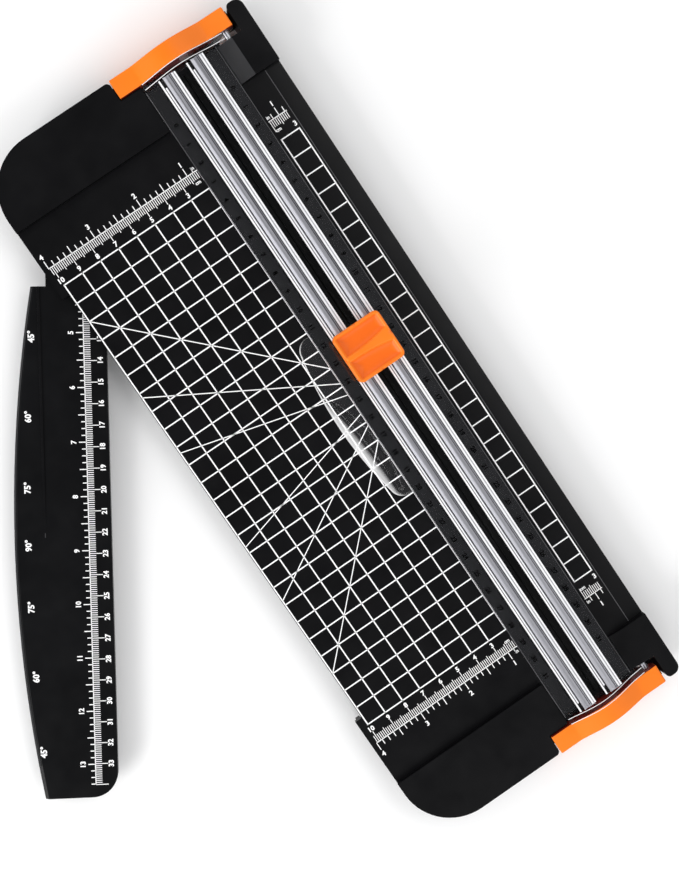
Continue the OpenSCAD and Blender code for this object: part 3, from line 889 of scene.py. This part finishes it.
def thumb_pad():
    """The thumb pad: its sculpted top, its sides and the hollow under it."""
    low, high = design_box("press_cap")
    half_x = (high.x - low.x) / 2
    half_y = (high.y - low.y) / 2
    cells = 84
    build = bmesh.new()
    grid = []
    for i in range(cells + 1):
        row = []
        for j in range(cells + 1):
            x, y = on_round_rect(2 * i / cells - 1, 2 * j / cells - 1, half_x, half_y, PAD_CORNER)
            z = pad_height(x, y, half_x, half_y, high.z)
            row.append(build.verts.new((x, y + CUTTER_Y, z)))
        grid.append(row)
    for i in range(cells):
        for j in range(cells):
            build.faces.new([grid[i][j], grid[i + 1][j], grid[i + 1][j + 1], grid[i][j + 1]])
    rim = [(i, 0) for i in range(cells)] + [(cells, j) for j in range(cells)]
    rim += [(i, cells) for i in range(cells, 0, -1)] + [(0, j) for j in range(cells, 0, -1)]
    wall = 0.95
    ceiling = low.z + 3.4
    steps = [(0, low.z + 0.3), (0.25, low.z), (wall, low.z), (wall, ceiling)]
    previous = [grid[i][j] for i, j in rim]
    for inset, z in steps:
        ring = []
        for i, j in rim:
            s = 2 * i / cells - 1
            t = 2 * j / cells - 1
            x, y = on_round_rect(s, t, half_x - inset, half_y - inset, PAD_CORNER - inset)
            ring.append(build.verts.new((x, y + CUTTER_Y, z)))
        for k in range(len(rim)):
            n = (k + 1) % len(rim)
            build.faces.new([previous[k], previous[n], ring[n], ring[k]])
        previous = ring
    build.faces.new(previous)
    mesh = mesh_from("thumb_pad", build)
    smooth_mesh(mesh, 50)
    pad = finish_piece("thumb_pad", mesh, "press", ORANGE, ["press_cap"])
    # Painted shade: upward faces 0.75 to 3.2 mm below the top get a darker orange
    recolour(pad, ORANGE_HOLLOW_SHADE, lambda c, n: n.z > 0 and 0.75 < high.z - c.z < 3.2)
    return pad


# ---------------------------------------------------------------- the whole object


def build_object():
    board = rounded_part("base_plate", "base", BOARD_BLACK, 0.35)
    # Painted sheen: the far cheek's sloping faces get a lighter black, as if lit
    recolour(board, SHEEN_BLACK, lambda c, n: c.y > 150 and 0.15 < -n.x < 0.3 and n.z > 0.9)
    rounded_part("ruler_arm", "ruler", ARM_BLACK, 0.3)
    end_pieces("far", 1)
    end_pieces("near", -1)
    for side in ("left", "right"):
        rounded_part(f"{side}_rail", "rail", CLEAR, 0.35, 3)
    glide_strip("left_bright_strip", "left_glide_strip")
    glide_strip("right_bright_strip", "right_glide_strip")
    rounded_part("cutter_housing", "cutter", ORANGE, 0.25)
    finger_guard()
    thumb_pad()
    paint("cutting_mat", MAT_BLACK)
    for corner in ("far_left", "far_right", "near_left", "near_right"):
        paint(f"foot_{corner}", FOOT_RUBBER)
    for end in ("far", "near"):
        paint(f"hinge_pin_{end}", PIN_STEEL)
        return_coil(end)
    paint("pivot_washer", SCREW_ZINC)
    paint("pivot_screw", SCREW_ZINC)
    paint("blade_yoke", YOKE_GREY)
    paint("blade_axle", PIN_STEEL)
    paint("blade_wheel", BLADE_STEEL)
    board_print()
    arm_print()
    arm_edges()
    rail_numbers()
    clear_edges()
    crease_line()


# ---------------------------------------------------------------- floor, light and camera


def make_floor():
    build = bmesh.new()
    half = 3000
    bmesh.ops.create_grid(build, x_segments=2, y_segments=2, size=half)
    mesh = mesh_from("floor", build)
    floor = bpy.data.objects.new("floor", mesh)
    bpy.context.scene.collection.objects.link(floor)
    mat, tree, shader = new_material("floor_white", (0.9, 0.9, 0.9), 0.6, specular=0.2)
    vary_colour(tree, shader, noise(tree, 3), (0.95, 0.95, 0.95), (0.97, 0.97, 0.97))
    mesh.materials.append(mat)


def area_light(name, azimuth, elevation, distance, size_x, size_y, power):
    """A soft light aimed at the board's middle; azimuth 0 is +X and 90 is +Y."""
    a = math.radians(azimuth)
    e = math.radians(elevation)
    direction = Vector((math.cos(a) * math.cos(e), math.sin(a) * math.cos(e), math.sin(e)))
    data = bpy.data.lights.new(name, "AREA")
    data.shape = "RECTANGLE"
    data.size = size_x
    data.size_y = size_y
    data.energy = power
    lamp = bpy.data.objects.new(name, data)
    bpy.context.scene.collection.objects.link(lamp)
    lamp.location = place(-40, 0, 0) + direction * distance
    lamp.rotation_euler = direction.to_track_quat("Z", "Y").to_euler()
    lamp.visible_camera = False
    return lamp


def make_lights():
    area_light("left_card", 186, 26, 1.7, 0.9, 0.7, 18)
    area_light("right_sky", 5, 62, 1.7, 1.2, 0.7, 4)
    area_light("near_key", 265, 40, 1.9, 1.4, 0.8, 6)
    area_light("far_fill", 85, 36, 1.9, 1.4, 0.8, 3)
    world = bpy.data.worlds.new("studio")
    bpy.context.scene.world = world
    world.use_nodes = True
    tree = world.node_tree
    coords = tree.nodes.new("ShaderNodeTexCoord")
    split = tree.nodes.new("ShaderNodeSeparateXYZ")
    ramp = tree.nodes.new("ShaderNodeValToRGB")
    ring = ramp.color_ramp.elements[0]
    ring.position = 0.72
    ring.color = (0.9, 0.9, 0.9, 1)
    zenith = ramp.color_ramp.elements[1]
    zenith.position = 0.92
    zenith.color = (0.17, 0.17, 0.18, 1)
    tree.links.new(coords.outputs["Generated"], split.inputs["Vector"])
    tree.links.new(split.outputs["Z"], ramp.inputs["Fac"])
    tree.links.new(ramp.outputs["Color"], tree.nodes["Background"].inputs["Color"])
    tree.nodes["Background"].inputs["Strength"].default_value = 1.0
    bpy.context.scene.view_settings.view_transform = "Standard"


def make_camera():
    """Looks almost straight down, with the board turned so that its far end is at the upper left."""
    position = place(-52.70, 46.71, 575.14)
    target = place(-34.46, -4.77, 15.0)
    lean = math.radians(34.01)
    data = bpy.data.cameras.new("camera")
    data.lens = 48.98
    data.sensor_width = 36
    data.clip_start = 0.01
    camera = bpy.data.objects.new("camera", data)
    bpy.context.scene.collection.objects.link(camera)
    back = (position - target).normalized()
    up = Vector((math.sin(lean), math.cos(lean), 0))
    up = (up - back * up.dot(back)).normalized()
    right = up.cross(back)
    camera.matrix_world = Matrix([
        [right.x, up.x, back.x, position.x],
        [right.y, up.y, back.y, position.y],
        [right.z, up.z, back.z, position.z],
        [0, 0, 0, 1],
    ])
    bpy.context.scene.camera = camera


make_camera()
make_floor()
make_lights()
build_object()
